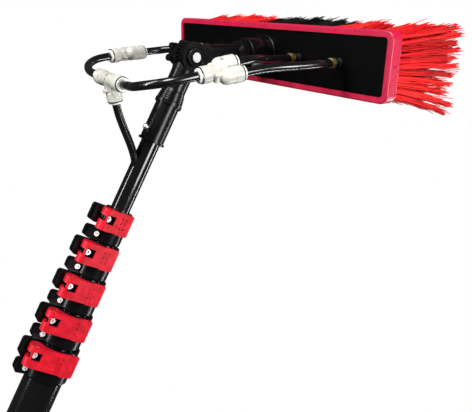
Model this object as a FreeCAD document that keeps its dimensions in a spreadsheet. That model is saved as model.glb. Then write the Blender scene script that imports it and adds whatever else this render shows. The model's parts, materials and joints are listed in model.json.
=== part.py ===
import FreeCAD, Part
import math
import os
import re

import Sketcher

# A telescopic, water-fed window cleaning pole with a tilting brush head, shown collapsed.
# Frame: origin at the centre of the pole's butt end, +Z up the pole, +X along the tilt axis
# and the brush's long side.  Millimetres.

Vector = FreeCAD.Vector
doc = FreeCAD.newDocument("window_cleaning_pole")
sheet = doc.addObject("Spreadsheet::Sheet", "sizes")

SIZES = {
    # pole
    "base_diameter": 40,        # outside diameter of the widest, lowest section
    "section_step": 4,          # each section is this much slimmer than the one round it
    "tube_wall": 1.2,
    "cap_rim": 4,               # the base tube stands on the butt cap's rim
    "base_top": 1310.4,          # top of the base tube
    "section_foot": 34,         # lower ends of the sliding sections, collapsed
    "top_section_top": 1578,
    "bush_length": 30,
    "running_gap": 0.06,        # radial clearance of a part that slides or turns on another
    # clamps, measured from the height of the tension bolt
    "clamp_pitch": 37.8,
    "bolt_above_tube": 8.5,     # bolt above the top of the tube that the clamp sits on
    "clamp_top": 10.5,
    "collar_top": 12.5,
    "collar_bottom": 26.5,
    "collar_wall": 2.5,
    "ear_slit": 2.4,
    "near_ear": 5.4,            # lever side face of the ears
    "far_ear": 6.5,
    "upper_ear_reach": 16.4,    # ears' reach past the tube
    "lower_ear_reach": 14.4,
    "bolt_reach": 5.7,          # bolts' distance past the tube
    "lower_bolt_reach": 5.4,
    "lower_bolt_drop": 19.1,
    "bolt_radius": 2.0,
    "bolt_head": 3.0,
    "lower_head": 2.7,
    "cam_radius": 7.6,
    "barrel_radius": 4.5,
    "lever_thickness": 3.0,
    "lever_gap": 0.5,           # between the lever and the collar that it lies against
    "window_height": 9,         # the lever's window in front of the tension bolt
    "window_low": 3,            # its reach from the bolt away from the pole
    "window_high": 6,           # and towards the pole
    "common_turn": -8,          # which way the ears point, turned about the pole from -Y
    "first_turn": 0,
    # adapter sleeve and knuckle, depths measured down from the tilt axis
    "pivot_height": 1654,
    "head_angle": 60,           # from the pole's axis to the bristles' direction
    "sleeve_radius": 12.5,
    "sleeve_top_depth": 55,
    "sleeve_end_depth": 95,
    "button_depth": 84.5,
    "button_radius": 3.0,
    "slot_top_depth": 105.5,
    "slot_end_depth": 128.5,
    "slot_width": 9.6,
    "disc_radius": 15,
    "disc_width": 10,
    "neck_radius": 11.6,
    "pivot_bolt": 3.0,
    "knob_radius": 16,
    # brush, distances measured from the tilt axis along the bristles' direction
    "block_face": 100,
    "block_length": 350,
    "block_height": 66,
    "block_depth": 14,
    "rim_width": 6,
    "panel_recess": 1.5,
    "panel_depth": 2.5,
    "socket_mouth": 71,
    "socket_radius": 17.5,
    "socket_flange": 21.5,
    "arm_half_height": 11,
    "bristle_tip": 185,
    "black_half": 63,
    "nozzle_inner": 55.6,
    "nozzle_outer": 113,
    # hoses and push-fit fittings
    "hose_radius": 4.0,
    "port_radius": 7.6,
    "arm_radius": 6.7,
    "port_spacing": 14.5,
}

for row, (alias, number) in enumerate(SIZES.items(), start=1):
    sheet.set(f"A{row}", alias.replace("_", " "))
    sheet.set(f"B{row}", str(number))
    sheet.setAlias(f"B{row}", alias)
doc.recompute()

NODES = []
BREP = "Part::Feature"


# ---------------------------------------------------------------- formulas and small tools

def bound(formula):
    """A formula in the sheet's words, as FreeCAD reads it from any object."""
    return re.sub(r"[a-z_]+", lambda word: "sizes." + word[0] if word[0] in SIZES else word[0], str(formula))


def value(formula):
    return float(sheet.evalExpression(bound(formula)))


def bind(thing, **formulas):
    for name, formula in formulas.items():
        thing.setExpression(name.replace("__", "."), bound(formula))


def at(thing, x="0", y="0", z="0", rotation=None):
    """Places a thing with its position bound to the sheet."""
    thing.Placement = FreeCAD.Placement(Vector(value(x), value(y), value(z)), rotation or FreeCAD.Rotation())
    bind(thing, Placement__Base__x=x, Placement__Base__y=y, Placement__Base__z=z)
    return thing


def node(thing, label):
    thing.Label = label
    NODES.append(thing)
    return thing


ALONG = {
    "X": FreeCAD.Rotation(Vector(0, 1, 0), 90),
    "-X": FreeCAD.Rotation(Vector(0, 1, 0), -90),
    "-Y": FreeCAD.Rotation(Vector(1, 0, 0), 90),
    "Z": FreeCAD.Rotation(),
}


def box(x0, x1, y0, y1, z0, z1):
    thing = doc.addObject("Part::Box", "box")
    bind(thing, Length=f"({x1}) - ({x0})", Width=f"({y1}) - ({y0})", Height=f"({z1}) - ({z0})")
    return at(thing, x0, y0, z0)


def cylinder(radius, start, end, x="0", y="0", z="0", along="Z"):
    """A cylinder from start to end along its axis, which passes through (x, y, z)."""
    thing = doc.addObject("Part::Cylinder", "cylinder")
    bind(thing, Radius=radius, Height=f"({end}) - ({start})")
    base = {"X": (start, y, z), "Z": (x, y, start), "-Y": (x, f"-({start})", z)}[along]
    return at(thing, *base, rotation=ALONG[along])


def cone(low_radius, high_radius, start, end, x="0", y="0"):
    thing = doc.addObject("Part::Cone", "cone")
    bind(thing, Radius1=low_radius, Radius2=high_radius, Height=f"({end}) - ({start})")
    return at(thing, x, y, start)


def hexagon(corner_radius, start, end, y="0", z="0", along="X"):
    thing = doc.addObject("Part::Prism", "hexagon")
    thing.Polygon = 6
    bind(thing, Circumradius=corner_radius, Height=f"({end}) - ({start})")
    base = {"X": (start, y, z), "Z": ("0", y, start)}[along]
    return at(thing, *base, rotation=ALONG[along])


def fuse(*things):
    whole = doc.addObject("Part::MultiFuse", "fuse")
    whole.Shapes = list(things)
    return whole


def cut(base, *tools):
    for tool in tools:
        whole = doc.addObject("Part::Cut", "cut")
        whole.Base = base
        whole.Tool = tool
        base = whole
    return base


def group(*things):
    whole = doc.addObject("Part::Compound", "group")
    whole.Links = list(things)
    return whole


def rounded(base, radius, wanted):
    """Fillets the edges of base that the test wanted(edge) picks."""
    doc.recompute()
    whole = doc.addObject("Part::Fillet", "rounded")
    whole.Base = base
    whole.Edges = [(i, radius, radius) for i, edge in enumerate(base.Shape.Edges, start=1) if wanted(edge)]
    if not whole.Edges:
        raise ValueError(f"no edge to round on {base.Name}")
    return whole


def bevelled(base, size, wanted):
    doc.recompute()
    whole = doc.addObject("Part::Chamfer", "bevelled")
    whole.Base = base
    whole.Edges = [(i, size, size) for i, edge in enumerate(base.Shape.Edges, start=1) if wanted(edge)]
    if not whole.Edges:
        raise ValueError(f"no edge to bevel on {base.Name}")
    return whole


def circle_at(height, radius):
    """Picks whole circles about Z at a height, of a radius."""
    def wanted(edge):
        return (isinstance(edge.Curve, Part.Circle) and abs(edge.Curve.Radius - radius) < 1e-3
                and abs(edge.Curve.Center.z - height) < 1e-3)
    return wanted


def origin_plane(body, role):
    return next(o for o in body.Origin.OriginFeatures if o.Role == role)


def sketch_on(body, name, role):
    sketch = body.newObject("Sketcher::SketchObject", name)
    sketch.AttachmentSupport = [(origin_plane(body, role), "")]
    sketch.MapMode = "FlatFace"
    return sketch


def outline(sketch, corners):
    """A closed outline of straight sides; every corner's place is bound to the sheet."""
    places = [(value(x), value(y)) for x, y in corners]
    first = sketch.GeometryCount
    count = len(places)
    for i, (x, y) in enumerate(places):
        end = places[(i + 1) % count]
        sketch.addGeometry(Part.LineSegment(Vector(x, y, 0), Vector(*end, 0)))
    for i in range(count):
        sketch.addConstraint(Sketcher.Constraint("Coincident", first + i, 2, first + (i + 1) % count, 1))
    for i, corner in enumerate(corners):
        for kind, axis, formula, place in zip(("DistanceX", "DistanceY"), (-2, -1), corner, places[i]):
            if str(formula) == "0":
                sketch.addConstraint(Sketcher.Constraint("PointOnObject", first + i, 1, axis))
                continue
            index = sketch.addConstraint(Sketcher.Constraint(kind, -1, 1, first + i, 1, place))
            sketch.setExpression(f"Constraints[{index}]", bound(formula))


def circle(sketch, radius, x="0", y="0"):
    place = (value(x), value(y))
    index = sketch.addGeometry(Part.Circle(Vector(*place, 0), Vector(0, 0, 1), value(radius)))
    size = sketch.addConstraint(Sketcher.Constraint("Radius", index, value(radius)))
    sketch.setExpression(f"Constraints[{size}]", bound(radius))
    for kind, axis, formula, number in zip(("DistanceX", "DistanceY"), (-2, -1), (x, y), place):
        if str(formula) == "0":
            sketch.addConstraint(Sketcher.Constraint("PointOnObject", index, 3, axis))
            continue
        where = sketch.addConstraint(Sketcher.Constraint(kind, -1, 1, index, 3, number))
        sketch.setExpression(f"Constraints[{where}]", bound(formula))


def turned(profile):
    """A body of revolution about Z from (radius, height) corners."""
    body = doc.addObject("PartDesign::Body", "turned")
    sketch = sketch_on(body, "profile", "XZ_Plane")
    outline(sketch, profile)
    turn = body.newObject("PartDesign::Revolution", "turn")
    turn.Profile = sketch
    turn.ReferenceAxis = (sketch, ["V_Axis"])
    turn.Angle = 360
    body.Tip = turn
    return body


def ring(inner, outer, start, end):
    return turned([(inner, start), (outer, start), (outer, end), (inner, end)])


HEAD_TURN = FreeCAD.Rotation(Vector(1, 0, 0), -value("head_angle"))


def on_head(thing):
    """Places a thing built about the tilt axis, with +Z towards the brush and +Y towards its underside."""
    return at(thing, z="pivot_height", rotation=HEAD_TURN)


def at_pivot(thing):
    return at(thing, z="pivot_height")


# ---------------------------------------------------------------- pole sections

SECTIONS = 6


def outer_radius(n):
    """Outside radius of section n; 1 is the top, slimmest one."""
    return f"(base_diameter / 2 - {SECTIONS - n} * section_step / 2)"


def tube_top(n):
    if n == 1:
        return "top_section_top"
    return f"(base_top + {SECTIONS - n} * clamp_pitch)"


def plain_tube(n):
    foot = "cap_rim" if n == SECTIONS else "section_foot"
    shell = cylinder(outer_radius(n), foot, tube_top(n))
    hollow = cylinder(f"{outer_radius(n)} - tube_wall", f"{foot} - 5", f"{tube_top(n)} + 5")
    return shell, hollow


def top_section():
    """The top tube has a slot for the hose and a hole for the snap button, both on its -Y side."""
    shell, hollow = plain_tube(1)
    radius = outer_radius(1)
    slot_ends = ["pivot_height - slot_top_depth - slot_width / 2",
                 "pivot_height - slot_end_depth + slot_width / 2"]
    slot = box("-slot_width / 2", "slot_width / 2", f"-{radius} - 3", "-3", slot_ends[1], slot_ends[0])
    rounds = [cylinder("slot_width / 2", "3", f"{radius} + 3", z=end, along="-Y") for end in slot_ends]
    hole = cylinder("button_radius + running_gap", "3", f"{radius} + 3",
                    z="pivot_height - button_depth", along="-Y")
    return cut(shell, hollow, slot, *rounds, hole)


def section_bush(n):
    """A plastic bush bonded round a section's foot; it runs in the next tube and covers the foot's edge."""
    inner, bonded = f"{outer_radius(n)} - tube_wall", f"{outer_radius(n)} + 0.02"
    outer = f"{outer_radius(n + 1)} - tube_wall - running_gap"
    foot = "section_foot"
    return turned([(inner, f"{foot} - 3"), (f"{outer} - 0.5", f"{foot} - 3"), (outer, f"{foot} - 2.5"),
                   (outer, f"{foot} + bush_length"), (bonded, f"{foot} + bush_length"),
                   (bonded, foot), (inner, foot)])


def butt_cap():
    """A plug in the base tube, with a hole that the supply hose leaves by."""
    rim, plug = outer_radius(SECTIONS), f"({outer_radius(SECTIONS)} - tube_wall - 0.02)"
    return turned([("7", "0"), (f"{rim} - 1.5", "0"), (rim, "1.5"), (rim, "cap_rim"),
                   (plug, "cap_rim"), (plug, "29"), (f"{plug} - 1", "30"), (f"{plug} - 3.5", "30"),
                   (f"{plug} - 3.5", "9"), ("7", "9")])


node(top_section(), "pole_section_1")
for n in range(2, SECTIONS + 1):
    node(cut(*plain_tube(n)), f"pole_section_{n}")
for n in range(1, SECTIONS):
    node(section_bush(n), f"section_bush_{n}")
node(butt_cap(), "butt_cap")


# ---------------------------------------------------------------- lever clamps
# A clamp sits on the top of section n and grips section n - 1.  It is built with its tension bolt
# at height 0, its ears towards -Y and its lever on the +X side, then turned about the pole.

LEVER_ROOT = -48
TAB_DIRECTION = 92
TAB_LENGTH = 12


def pin_place(n):
    """Where the lever's hinge stands: x and y of the barrel's axis."""
    return "(near_ear + cam_radius + 0.2)", f"(-{outer_radius(n)} - bolt_reach)"


def clamp_body(n):
    tube, inner = outer_radius(n), outer_radius(n - 1)
    pin_x, pin_y = pin_place(n)
    band = f"({tube} + collar_wall)"
    collar = bevelled(cylinder(band, "-collar_bottom", "-collar_top + 1"), 2.0,
                      circle_at(-value("collar_bottom"), value(band)))
    grip = bevelled(cylinder(band, "-collar_top", "clamp_top"), 0.8,
                    circle_at(value("clamp_top"), value(band)))
    root = f"-{tube} + 3"
    upper_ears = box("-far_ear", "near_ear", f"-{tube} - upper_ear_reach", root, "-8.6", "9.4")
    lower_ears = box("-far_ear", "near_ear", f"-{tube} - lower_ear_reach", root, "-25.6", "-13.4")
    ears = [
        rounded(ear, 3.0, lambda e, reach=value(f"-{tube} - {word}"): e.Length < 20
                and abs(e.CenterOfMass.y - reach) < 1e-3 and abs(e.tangentAt(e.FirstParameter).x) > 0.9)
        for ear, word in ((upper_ears, "upper_ear_reach"), (lower_ears, "lower_ear_reach"))
    ]
    bolt_y, lower_y = f"-{tube} - bolt_reach", f"-{tube} - lower_bolt_reach"
    cutters = [
        # the collar is scalloped where the cam turns past it
        cylinder("cam_radius + 0.25", "-clamp_top - 1.9", "clamp_top + 1", x=f"{pin_x} + 0.1", y=pin_y),
        cylinder(f"{tube} + 0.02", "-collar_bottom - 5", "-bolt_above_tube"),
        cylinder(f"{inner} + running_gap", "-bolt_above_tube - 1", "clamp_top + 5"),
        box("-ear_slit / 2", "ear_slit / 2", f"-{tube} - 30", f"-{inner} + 4",
            "-collar_bottom - 1", "clamp_top + 1"),
        # the flexing half of the grip is parted from the collar
        box(f"-{tube} - 6", f"{tube} + 6", f"-{tube} - 30", "0", "-collar_top", "-collar_top + 1.2"),
        cylinder("bolt_radius + 0.05", "-far_ear - 5", "near_ear + 5", y=bolt_y, along="X"),
        hexagon("4.1", "-far_ear - 5", "-far_ear + 2.4", y=bolt_y),
        cylinder("bolt_radius + 0.05", "-far_ear - 5", "near_ear + 5", y=lower_y,
                 z="-lower_bolt_drop", along="X"),
        hexagon("4.1", "-far_ear - 5", "-far_ear + 2.4", y=lower_y, z="-lower_bolt_drop"),
        cylinder("lower_head + 0.2", "near_ear - 1.2", "near_ear + 5", y=lower_y,
                 z="-lower_bolt_drop", along="X"),
    ]
    return cut(fuse(collar, grip, *ears), *cutters)


def polar(radius, degrees):
    angle = math.radians(degrees)
    return f"({radius}) * {math.cos(angle):.5f}", f"({radius}) * {math.sin(angle):.5f}"


def lever_plate(corners):
    """A flat plate of the lever's height from its plan outline."""
    body = doc.addObject("PartDesign::Body", "plate")
    sketch = sketch_on(body, "plan", "XY_Plane")
    outline(sketch, corners)
    pad = body.newObject("PartDesign::Pad", "pad")
    pad.Profile = sketch
    bind(pad, Length="2 * clamp_top + 1")
    body.Tip = pad
    return at(body, z="-clamp_top - 1.5")


def unit(degrees):
    return math.cos(math.radians(degrees)), math.sin(math.radians(degrees))


def cam_lever(n):
    tube = outer_radius(n)
    pin_x, pin_y = pin_place(n)
    inside = f"({tube} + collar_wall + lever_gap)"
    outside = f"({tube} + collar_wall + lever_gap + lever_thickness)"
    low, high = "-clamp_top - 1.5", "clamp_top - 0.5"
    cam = cylinder("cam_radius", low, high, x=f"{pin_x} - 0.1", y=pin_y)

    # the plate lies along the line that touches both the cam and a circle just clear of the collar;
    # normal is the direction that the plate faces, and the plate ends at the height end_y
    reach = math.hypot(value(pin_x), value(pin_y))
    bearing = math.atan2(value(pin_y), value(pin_x))
    normal = math.degrees(bearing + math.acos((value(outside) - value("cam_radius")) / reach))
    touch = [f"{place} + {step}" for place, step in zip((pin_x, pin_y), polar("cam_radius", normal))]
    end_y = 0.85 * value(tube) - 13.8
    length = (end_y - value(touch[1])) / unit(normal)[0]
    end = [f"{touch[0]} - {length * unit(normal)[1]:.5f}", f"{touch[1]} + {length * unit(normal)[0]:.5f}"]
    end_inside = [f"{place} - lever_thickness * {share:.5f}" for place, share in zip(end, unit(normal))]
    front = lever_plate([touch, end, end_inside, polar(f"{inside} - 1", LEVER_ROOT), (pin_x, pin_y)])

    # the finger tab stands a little taller than the plate
    along = Vector(*unit(TAB_DIRECTION), 0)
    x, y = (f"{place} - {1.5 * share:.5f}" for place, share in zip(end, (along.x, along.y)))
    tab = doc.addObject("Part::Box", "tab")
    bind(tab, Length=f"{TAB_LENGTH + 1.5}", Width="lever_thickness", Height="2 * clamp_top + 2.4")
    at(tab, x, y, f"{low} - 0.7", rotation=FreeCAD.Rotation(Vector(0, 0, 1), TAB_DIRECTION))
    tip = (tab.Placement.Base + along * (TAB_LENGTH + 1.5)).dot(along)
    tab = rounded(tab, 2.0, lambda e: abs(e.tangentAt(e.FirstParameter).z) < 1e-6
                  and e.Length < 4 and e.CenterOfMass.dot(along) > tip - 0.1)

    blank = fuse(cam, front, tab)
    swept = doc.addObject("Part::Cylinder", "bolt_sweep")
    bind(swept, Radius="cam_radius + 3", Height="2 * bolt_radius + 1.4")
    swept.Angle = 170
    at(swept, pin_x, pin_y, "-bolt_radius - 0.7", rotation=FreeCAD.Rotation(Vector(0, 0, 1), 149))
    dimples = [
        cylinder("0.9", f"{outside} - 0.9", f"{outside} + 3", y=f"{column} - {tube} * 0.12", z=row, along="X")
        for column in ("-2.2", "2.2") for row in ("-5.5", "-0.3", "4.9")
    ]
    cutters = [
        cylinder(inside, "-clamp_top - 5", "clamp_top + 5"),
        cylinder("barrel_radius + 0.05", "-clamp_top - 5", "clamp_top - 2.4", x=pin_x, y=pin_y),
        box(pin_x, f"{pin_x} + 20", f"{pin_y} - window_low", f"{pin_y} + window_high",
            "-window_height / 2", "window_height / 2"),
        swept,
        *dimples,
    ]
    return cut(blank, *cutters)


def barrel_pin(n):
    """The round pin that the lever turns on; the tension bolt passes through it."""
    pin_x, pin_y = pin_place(n)
    pin = cylinder("barrel_radius", "-clamp_top", "clamp_top - 2.5", x=pin_x, y=pin_y)
    return cut(pin,
               cylinder("bolt_radius + 0.05", "0", f"{pin_x} + 9", y=pin_y, along="X"),
               cylinder("bolt_head + 0.05", f"{pin_x} + 0.3", f"{pin_x} + 9", y=pin_y, along="X"))


def socket_screw(y, z, start, seat, head_radius, head_length):
    """A socket-head screw along X: its shank from start to seat, its head beyond the seat."""
    face = f"{seat} + {head_length}"
    shank = cylinder("bolt_radius", start, seat, y=y, z=z, along="X")
    head = cylinder(head_radius, seat, face, y=y, z=z, along="X")
    return cut(fuse(shank, head), hexagon("1.5", f"{face} - 1.8", f"{face} + 2", y=y, z=z))


def nut(y, z):
    return cut(hexagon("4.0", "-far_ear - 0.8", "-far_ear + 2.38", y=y, z=z),
               cylinder("bolt_radius + 0.02", "-far_ear - 3", "-far_ear + 5", y=y, z=z, along="X"))


def clamp_fasteners(n):
    tube = outer_radius(n)
    pin_x, pin_y = pin_place(n)
    lower_y, lower_z = f"-{tube} - lower_bolt_reach", "-lower_bolt_drop"
    return group(
        socket_screw(pin_y, "0", "-far_ear - 1.2", f"{pin_x} + 0.3", "bolt_head", "2.9"),
        nut(pin_y, "0"),
        socket_screw(lower_y, lower_z, "-far_ear - 1.2", "near_ear - 1.2", "lower_head", "2.6"),
        nut(lower_y, lower_z),
    )


CLAMP_PIECES = {"body": clamp_body, "lever": cam_lever, "barrel": barrel_pin, "fasteners": clamp_fasteners}

for n in range(2, SECTIONS + 1):
    turn = value("first_turn" if n == 2 else "common_turn")
    for word, make in CLAMP_PIECES.items():
        piece = at(make(n), z=f"{tube_top(n)} + bolt_above_tube",
                   rotation=FreeCAD.Rotation(Vector(0, 0, 1), turn))
        node(piece, f"clamp_{n - 1}_{word}")


# ---------------------------------------------------------------- adapter sleeve and snap button

def adapter_sleeve():
    bore = f"{outer_radius(1)} + running_gap"
    shell = cylinder("sleeve_radius", "-sleeve_end_depth", "-sleeve_top_depth")
    return cut(shell, cylinder(bore, "-sleeve_end_depth - 5", "-sleeve_top_depth + 5"),
               cylinder("button_radius + running_gap", "5", "20", z="-button_depth", along="-Y"))


def sleeve_ring():
    rim = "sleeve_radius + 1.4"
    bore, seat = f"{outer_radius(1)} + running_gap", "sleeve_radius + 0.02"
    return turned([(bore, "-sleeve_end_depth - 1.6"), (rim, "-sleeve_end_depth - 1.6"),
                   (rim, "-sleeve_end_depth + 0.8"), (seat, "-sleeve_end_depth + 0.8"),
                   (seat, "-sleeve_end_depth"), (bore, "-sleeve_end_depth")])


def snap_button():
    shank = cylinder("button_radius", "7.5", "13.2", z="-button_depth", along="-Y")
    flange = cylinder("button_radius + 0.6", "6.8", "7.8", z="-button_depth", along="-Y")
    dome = doc.addObject("Part::Sphere", "dome")
    bind(dome, Radius="button_radius * 1.25")
    at(dome, y="-12.2", z="-button_depth")
    cap = doc.addObject("Part::MultiCommon", "cap")
    cap.Shapes = [dome, cylinder("button_radius", "12.6", "18", z="-button_depth", along="-Y")]
    return fuse(shank, flange, cap)


def button_spring():
    """A bent spring strip: one leaf behind the button, the other against the far wall of the tube."""
    body = doc.addObject("PartDesign::Body", "spring")
    sketch = sketch_on(body, "strip", "YZ_Plane")
    high, low = "-button_depth + 4", "-button_depth - 13"
    outline(sketch, [("-6.75", high), ("-6.75", low), ("-4", f"{low} - 3.5"), ("4", f"{low} - 3.5"),
                     ("8", low), ("8", high), ("7.4", high), ("7.4", f"{low} + 0.2"),
                     ("3.7", f"{low} - 2.9"), ("-3.7", f"{low} - 2.9"),
                     ("-6.15", f"{low} + 0.2"), ("-6.15", high)])
    pad = body.newObject("PartDesign::Pad", "pad")
    pad.Profile = sketch
    bind(pad, Length="5")
    pad.Midplane = True
    body.Tip = pad
    return body


node(at_pivot(adapter_sleeve()), "adapter_sleeve")
node(at_pivot(sleeve_ring()), "sleeve_ring")
node(at_pivot(snap_button()), "snap_button")
node(at_pivot(button_spring()), "button_spring")


# ---------------------------------------------------------------- tilting knuckle

NOTCHES = 24


def notches(x0, x1, inner):
    """Radial notches round the tilt axis, between two planes."""
    tools = []
    for k in range(NOTCHES):
        tool = doc.addObject("Part::Box", "notch")
        bind(tool, Length=f"({x1}) - ({x0})", Width="1.7", Height="disc_radius")
        turn = FreeCAD.Rotation(Vector(1, 0, 0), 360 * k / NOTCHES)
        offset = turn.multVec(Vector(0, -0.85, value(inner)))
        tool.Placement = FreeCAD.Placement(Vector(value(x0), offset.y, offset.z), turn)
        tools.append(tool)
    return group(*tools)


def pole_knuckle():
    """The pole's half: a ribbed socket on the sleeve, a neck, and the toothed disc at -X."""
    rim = "sleeve_radius + 1.8"
    solids = [
        rounded(cylinder(rim, "-sleeve_top_depth", "-sleeve_top_depth + 4.8"), 0.8,
                circle_at(value("-sleeve_top_depth + 4.8"), value(rim))),
        cone("13.5", "12.1", "-sleeve_top_depth + 4", "-41.5"),
        *[cylinder(radius, depth, f"{depth} + 0.9")
          for radius, depth in (("13.8", "-49"), ("13.5", "-46.9"), ("13.1", "-44.8"), ("12.7", "-42.7"))],
        cone("12.1", "neck_radius", "-41.5", "-38.5"),
        cylinder("neck_radius", "-39", "0"),
        cylinder("disc_radius", "-disc_width", "-0.15", along="X"),
        cylinder("disc_radius - 4", "-disc_width - 1", "-disc_width + 1", along="X"),
        bevelled(cylinder(f"{outer_radius(1)}", "-sleeve_top_depth - 19.5", "-sleeve_top_depth + 1"), 1.0,
                 circle_at(value("-sleeve_top_depth - 19.5"), value(outer_radius(1)))),
    ]
    cutters = [
        cylinder("disc_radius + 0.8", "-0.15", "16", along="X"),
        box("-0.15", "16", "-20", "20", "-6", "20"),
        cylinder("pivot_bolt + 0.05", "-20", "5", along="X"),
        cylinder("6.5", "-sleeve_top_depth - 25", "-34"),
        notches("-3.5", "1", "disc_radius - 2.4"),
    ]
    return cut(fuse(*solids), *cutters)


def knuckle_arm():
    """The brush's half: the toothed disc at +X, a beam and a spigot for the brush's socket."""
    hub = rounded(cylinder("10", "disc_width - 1", "disc_width + 3.5", along="X"), 1.0,
                  lambda e: isinstance(e.Curve, Part.Circle) and e.CenterOfMass.x > value("disc_width + 3"))
    rail = rounded(box("-8", "9.6", "-arm_half_height", "arm_half_height", "disc_radius + 1.6", "62"), 3.0,
                   lambda e: abs(e.tangentAt(e.FirstParameter).z) > 0.9)
    solids = [
        cylinder("disc_radius", "0.15", "disc_width", along="X"),
        hub,
        box("0.15", "9.6", "-arm_half_height", "arm_half_height", "0", "20"),
        rail,
        cone("11.5", "14.5", "56", "62"),
        cylinder("14.5", "62", "socket_mouth - 2"),
        cylinder("12", "socket_mouth - 3", "socket_mouth + 22"),
    ]
    cutters = [
        cylinder("disc_radius + 0.8", "-16", "0.15", along="X"),
        box("-16", "0.15", "-20", "20", "-20", "0"),
        cylinder("pivot_bolt + 0.05", "-5", "20", along="X"),
        cylinder("5.0", "8", "20", along="X"),
        notches("-1", "3.5", "disc_radius - 2.4"),
    ]
    return cut(fuse(*solids), *cutters)


def pivot_bolt():
    return fuse(cylinder("pivot_bolt", "-21", "8.2", along="X"), cylinder("4.7", "8.05", "11.8", along="X"))


def pivot_cap():
    return rounded(cylinder("4.9", "12", "14.1", along="X"), 0.9,
                   lambda e: isinstance(e.Curve, Part.Circle) and e.CenterOfMass.x > 14)


def tilt_knob():
    """A lobed clamping knob on the pivot bolt's -X end."""
    lobes = 6
    inner, outer = "-23", "-neck_radius - 0.4"
    solids = [cylinder("knob_radius - 4.5", inner, outer, along="X"),
              cylinder("knob_radius - 7", "-25", inner, along="X")]
    for k in range(lobes):
        y, z = polar("knob_radius - 3.6", 360 / lobes * k + 40)
        solids.append(cylinder("3.6", f"{inner} + 1", f"{outer} - 1", y=y, z=z, along="X"))
    return cut(fuse(*solids), cylinder("pivot_bolt + 0.05", "-21.2", "0", along="X"))


node(at_pivot(pole_knuckle()), "pole_knuckle")
node(on_head(knuckle_arm()), "knuckle_arm")
node(on_head(pivot_bolt()), "pivot_bolt")
node(on_head(pivot_cap()), "pivot_cap")
node(on_head(tilt_knob()), "tilt_knob")


# ---------------------------------------------------------------- brush

NOZZLE_PLACES = ("-nozzle_outer", "-nozzle_inner", "nozzle_inner", "nozzle_outer")
PANEL_FACE = "(block_face + panel_recess)"
BRISTLE_ROOT = "(block_face + block_depth)"


def filleted(body, radius, wanted):
    """Adds a fillet, its radius bound to the sheet, to the edges of the body that wanted picks."""
    doc.recompute()
    base = body.Tip
    fillet = body.newObject("PartDesign::Fillet", "fillet")
    names = [f"Edge{i}" for i, edge in enumerate(base.Shape.Edges, start=1) if wanted(edge)]
    if not names:
        raise ValueError(f"no edge to fillet on {body.Name}")
    fillet.Base = (base, names)
    bind(fillet, Radius=radius)
    body.Tip = fillet
    return fillet


def upright_at(x_min):
    """Picks edges along the depth that stand further out than x_min."""
    return lambda e: abs(e.tangentAt(e.FirstParameter).z) > 0.99 and abs(e.CenterOfMass.x) > x_min \
        and isinstance(e.Curve, Part.Line)


def plate(half_length, half_height, depth, corner):
    """A rounded plate standing on the XY plane."""
    body = doc.addObject("PartDesign::Body", "plate")
    sketch = sketch_on(body, "face", "XY_Plane")
    outline(sketch, [(f"-({half_length})", f"-({half_height})"), (half_length, f"-({half_height})"),
                     (half_length, half_height), (f"-({half_length})", half_height)])
    pad = body.newObject("PartDesign::Pad", "pad")
    pad.Profile = sketch
    bind(pad, Length=depth)
    body.Tip = pad
    filleted(body, corner, upright_at(100))
    return body


def pocket_up(body, sketch, depth):
    """Cuts a sketch on the XY plane into the body above it."""
    doc.recompute()
    before = body.Tip.Shape.Volume
    pocket = body.newObject("PartDesign::Pocket", "pocket")
    pocket.Profile = sketch
    bind(pocket, Length=depth)
    pocket.Reversed = True
    body.Tip = pocket
    doc.recompute()
    if not pocket.Shape.Volume < before - 1:
        raise ValueError("a pocket cut nothing")


def nozzle_holes(body, depth, radius):
    sketch = sketch_on(body, "nozzle_holes", "XY_Plane")
    for place in NOZZLE_PLACES:
        circle(sketch, radius, x=place)
    pocket_up(body, sketch, depth)


def brush_block():
    """The red block: a raised rim round a shallow recess, with holes for the water nozzles."""
    body = plate("block_length / 2", "block_height / 2", "block_depth", "9")
    filleted(body, "1.5", lambda e: e.CenterOfMass.z < 0.1 or e.CenterOfMass.z > value("block_depth") - 0.1)
    recess = sketch_on(body, "recess", "XY_Plane")
    x, y = "block_length / 2 - rim_width", "block_height / 2 - rim_width"
    outline(recess, [(f"-({x})", f"-({y})"), (x, f"-({y})"), (x, y), (f"-({x})", y)])
    pocket_up(body, recess, "panel_recess + panel_depth")
    corner = value(x)
    filleted(body, "4", lambda e: abs(abs(e.CenterOfMass.x) - corner) < 0.01 and e.Length < 8)
    nozzle_holes(body, "block_depth + 5", "3.3")
    return at(body, z="block_face")


def back_panel():
    """The black panel that lies in the block's recess."""
    body = plate("block_length / 2 - rim_width - 0.3", "block_height / 2 - rim_width - 0.3",
                 "panel_depth", "3.7")
    nozzle_holes(body, "panel_depth + 5", "3.3")
    return at(body, z=PANEL_FACE)


def on_block(body, label):
    """Moves a piece built along the head's axis to its place on the tilted head."""
    lift = body.Placement.Base.z
    moved = FreeCAD.Placement(Vector(0, 0, value("pivot_height")), HEAD_TURN).multVec(Vector(0, 0, lift))
    body.setExpression("Placement.Base.y", None)
    body.setExpression("Placement.Base.z", None)
    body.Placement = FreeCAD.Placement(moved, HEAD_TURN)
    return node(body, label)


def brush_socket():
    solids = [
        rounded(cylinder("socket_radius", "socket_mouth", f"{PANEL_FACE} - 1"), 1.0,
                circle_at(value("socket_mouth"), value("socket_radius"))),
        rounded(cylinder("socket_flange", f"{PANEL_FACE} - 4", PANEL_FACE), 1.2,
                circle_at(value(f"{PANEL_FACE} - 4"), value("socket_flange"))),
    ]
    return cut(fuse(*solids), cylinder("12.05", "socket_mouth - 5", "socket_mouth + 24"))


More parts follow.
